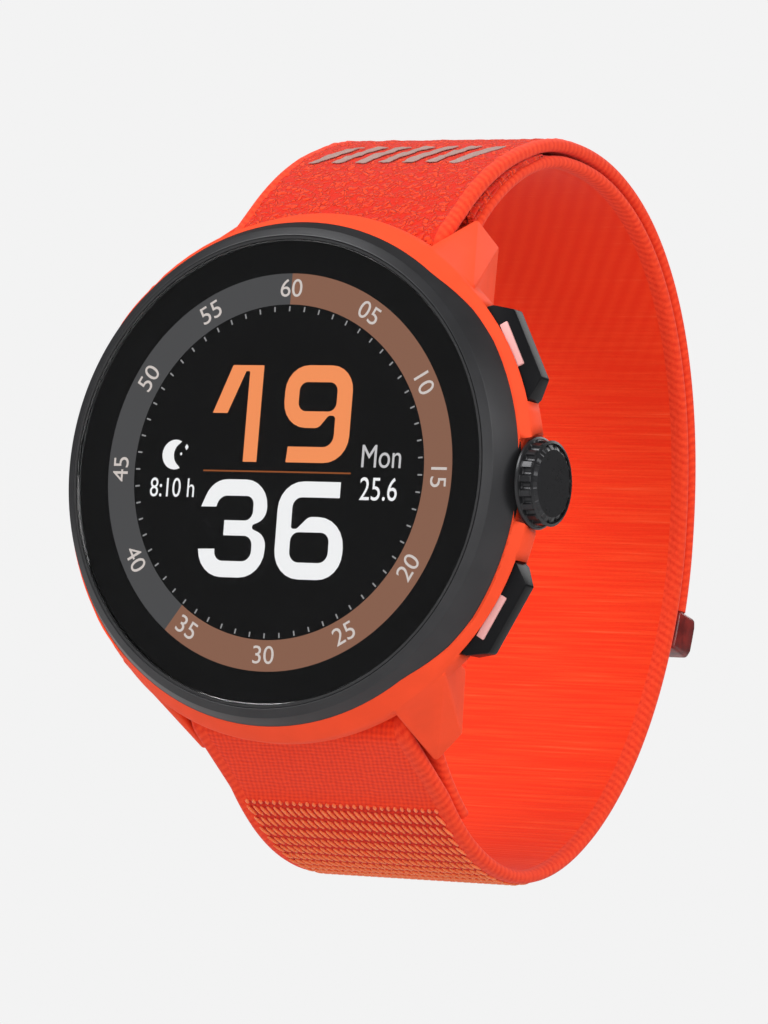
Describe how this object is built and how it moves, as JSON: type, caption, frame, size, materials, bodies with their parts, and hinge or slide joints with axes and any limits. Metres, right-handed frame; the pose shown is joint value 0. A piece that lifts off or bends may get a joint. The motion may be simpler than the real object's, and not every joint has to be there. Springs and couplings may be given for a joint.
{
  "type": "gps running watch",
  "caption": "Round multisport wrist watch with a rotating crown, side buttons and a hook-and-loop textile strap closed in a loop.",
  "frame": {"origin": "centre of the flat sensor window on the back of the case, where it lies on the wrist", "axes": "+Y out of the case back towards the wrist, -Y out of the display, +Z towards 12 o'clock, +X towards the crown"},
  "size_m": [0.0468, 0.0579, 0.0648],
  "materials": {
    "cover_glass": "polished",
    "seal_rubber": "matt",
    "display": "glossy",
    "bezel_black": "satin coated",
    "case_orange": "fine matt, glass-fibre reinforced",
    "inner_plastic": "moulded",
    "gold_contact": "gold plated",
    "battery_foil": "foil",
    "board_green": "solder mask",
    "bare_steel": "turned",
    "back_plastic": "fine spark texture",
    "sensor_glass": "polished",
    "led_white": "clear",
    "button_black": "semi-gloss",
    "button_inlay": "satin",
    "strap_textile": "woven with loop pile",
    "hook_tape": "moulded hooks",
    "tab_red": "translucent dark red"
  },
  "bodies": {
    "case": {"cover_glass": "cover_glass", "glass_gasket": "seal_rubber", "display_panel": "display", "bezel_ring": "bezel_black", "bezel_gasket": "seal_rubber", "case_body": "case_orange", "inner_frame": "inner_plastic", "antenna_ring": "gold_contact", "battery": "battery_foil", "main_board": "board_green", "board_shields": "bare_steel", "vibration_motor": "bare_steel", "case_back": "back_plastic", "case_back_gasket": "seal_rubber", "case_back_screws": "bare_steel", "sensor_window": "sensor_glass", "sensor_board": "board_green", "sensor_leds": "led_white", "charging_contacts": "gold_contact", "crown_tube": "bare_steel", "encoder_sensor": "inner_plastic", "crown_switch": "inner_plastic", "upper_button_switch": "inner_plastic", "lower_button_switch": "inner_plastic", "upper_bar_tube": "bare_steel", "upper_bar_spring": "bare_steel", "lower_bar_tube": "bare_steel", "lower_bar_spring": "bare_steel", "strap_band": "strap_textile"},
    "crown_plunger": {"crown_thrust_bush": "inner_plastic"},
    "crown": {"crown_knob": "bezel_black", "crown_stem": "bare_steel", "crown_o_rings": "seal_rubber", "crown_clip": "bare_steel", "encoder_wheel": "inner_plastic"},
    "upper_button": {"upper_button_cap": "button_black", "upper_button_insert": "button_inlay", "upper_button_stem": "bare_steel", "upper_button_o_ring": "seal_rubber", "upper_button_clip": "bare_steel", "upper_button_spring": "bare_steel"},
    "lower_button": {"lower_button_cap": "button_black", "lower_button_insert": "button_inlay", "lower_button_stem": "bare_steel", "lower_button_o_ring": "seal_rubber", "lower_button_clip": "bare_steel", "lower_button_spring": "bare_steel"},
    "upper_left_pin": {"upper_bar_left_pin": "bare_steel"},
    "upper_right_pin": {"upper_bar_right_pin": "bare_steel"},
    "lower_left_pin": {"lower_bar_left_pin": "bare_steel"},
    "lower_right_pin": {"lower_bar_right_pin": "bare_steel"},
    "strap_tail": {"strap_tail": "strap_textile", "hook_patch": "hook_tape", "end_tab": "tab_red"}
  },
  "joints": [
    {"name": "crown_press", "type": "slide", "parent": "case", "child": "crown_plunger", "axis": [-1, 0, 0], "range_m": [0, 0.00025], "stiffness_N_per_m": 4000, "springref_m": -0.0004},
    {"name": "crown_turn", "type": "hinge", "parent": "crown_plunger", "child": "crown", "pos_m": [0.023, -0.0063, 0], "axis": [1, 0, 0], "continuous": true},
    {"name": "upper_button_press", "type": "slide", "parent": "case", "child": "upper_button", "axis": [-0.8809, 0, -0.4733], "range_m": [0, 0.0004], "stiffness_N_per_m": 3000, "springref_m": -0.0004},
    {"name": "lower_button_press", "type": "slide", "parent": "case", "child": "lower_button", "axis": [-0.8809, 0, 0.4733], "range_m": [0, 0.0004], "stiffness_N_per_m": 3000, "springref_m": -0.0004},
    {"name": "upper_left_pin_slide", "type": "slide", "parent": "case", "child": "upper_left_pin", "axis": [1, 0, 0], "range_m": [0, 0.0013], "stiffness_N_per_m": 600, "springref_m": -0.001},
    {"name": "upper_right_pin_slide", "type": "slide", "parent": "case", "child": "upper_right_pin", "axis": [-1, 0, 0], "range_m": [0, 0.0013], "stiffness_N_per_m": 600, "springref_m": -0.001},
    {"name": "lower_left_pin_slide", "type": "slide", "parent": "case", "child": "lower_left_pin", "axis": [1, 0, 0], "range_m": [0, 0.0013], "stiffness_N_per_m": 600, "springref_m": -0.001},
    {"name": "lower_right_pin_slide", "type": "slide", "parent": "case", "child": "lower_right_pin", "axis": [-1, 0, 0], "range_m": [0, 0.0013], "stiffness_N_per_m": 600, "springref_m": -0.001},
    {"name": "strap_peel", "type": "hinge", "parent": "case", "child": "strap_tail", "pos_m": [0, -0.0024, 0.02], "axis": [1, 0, 0], "range_deg": [0, 55]}
  ]
}
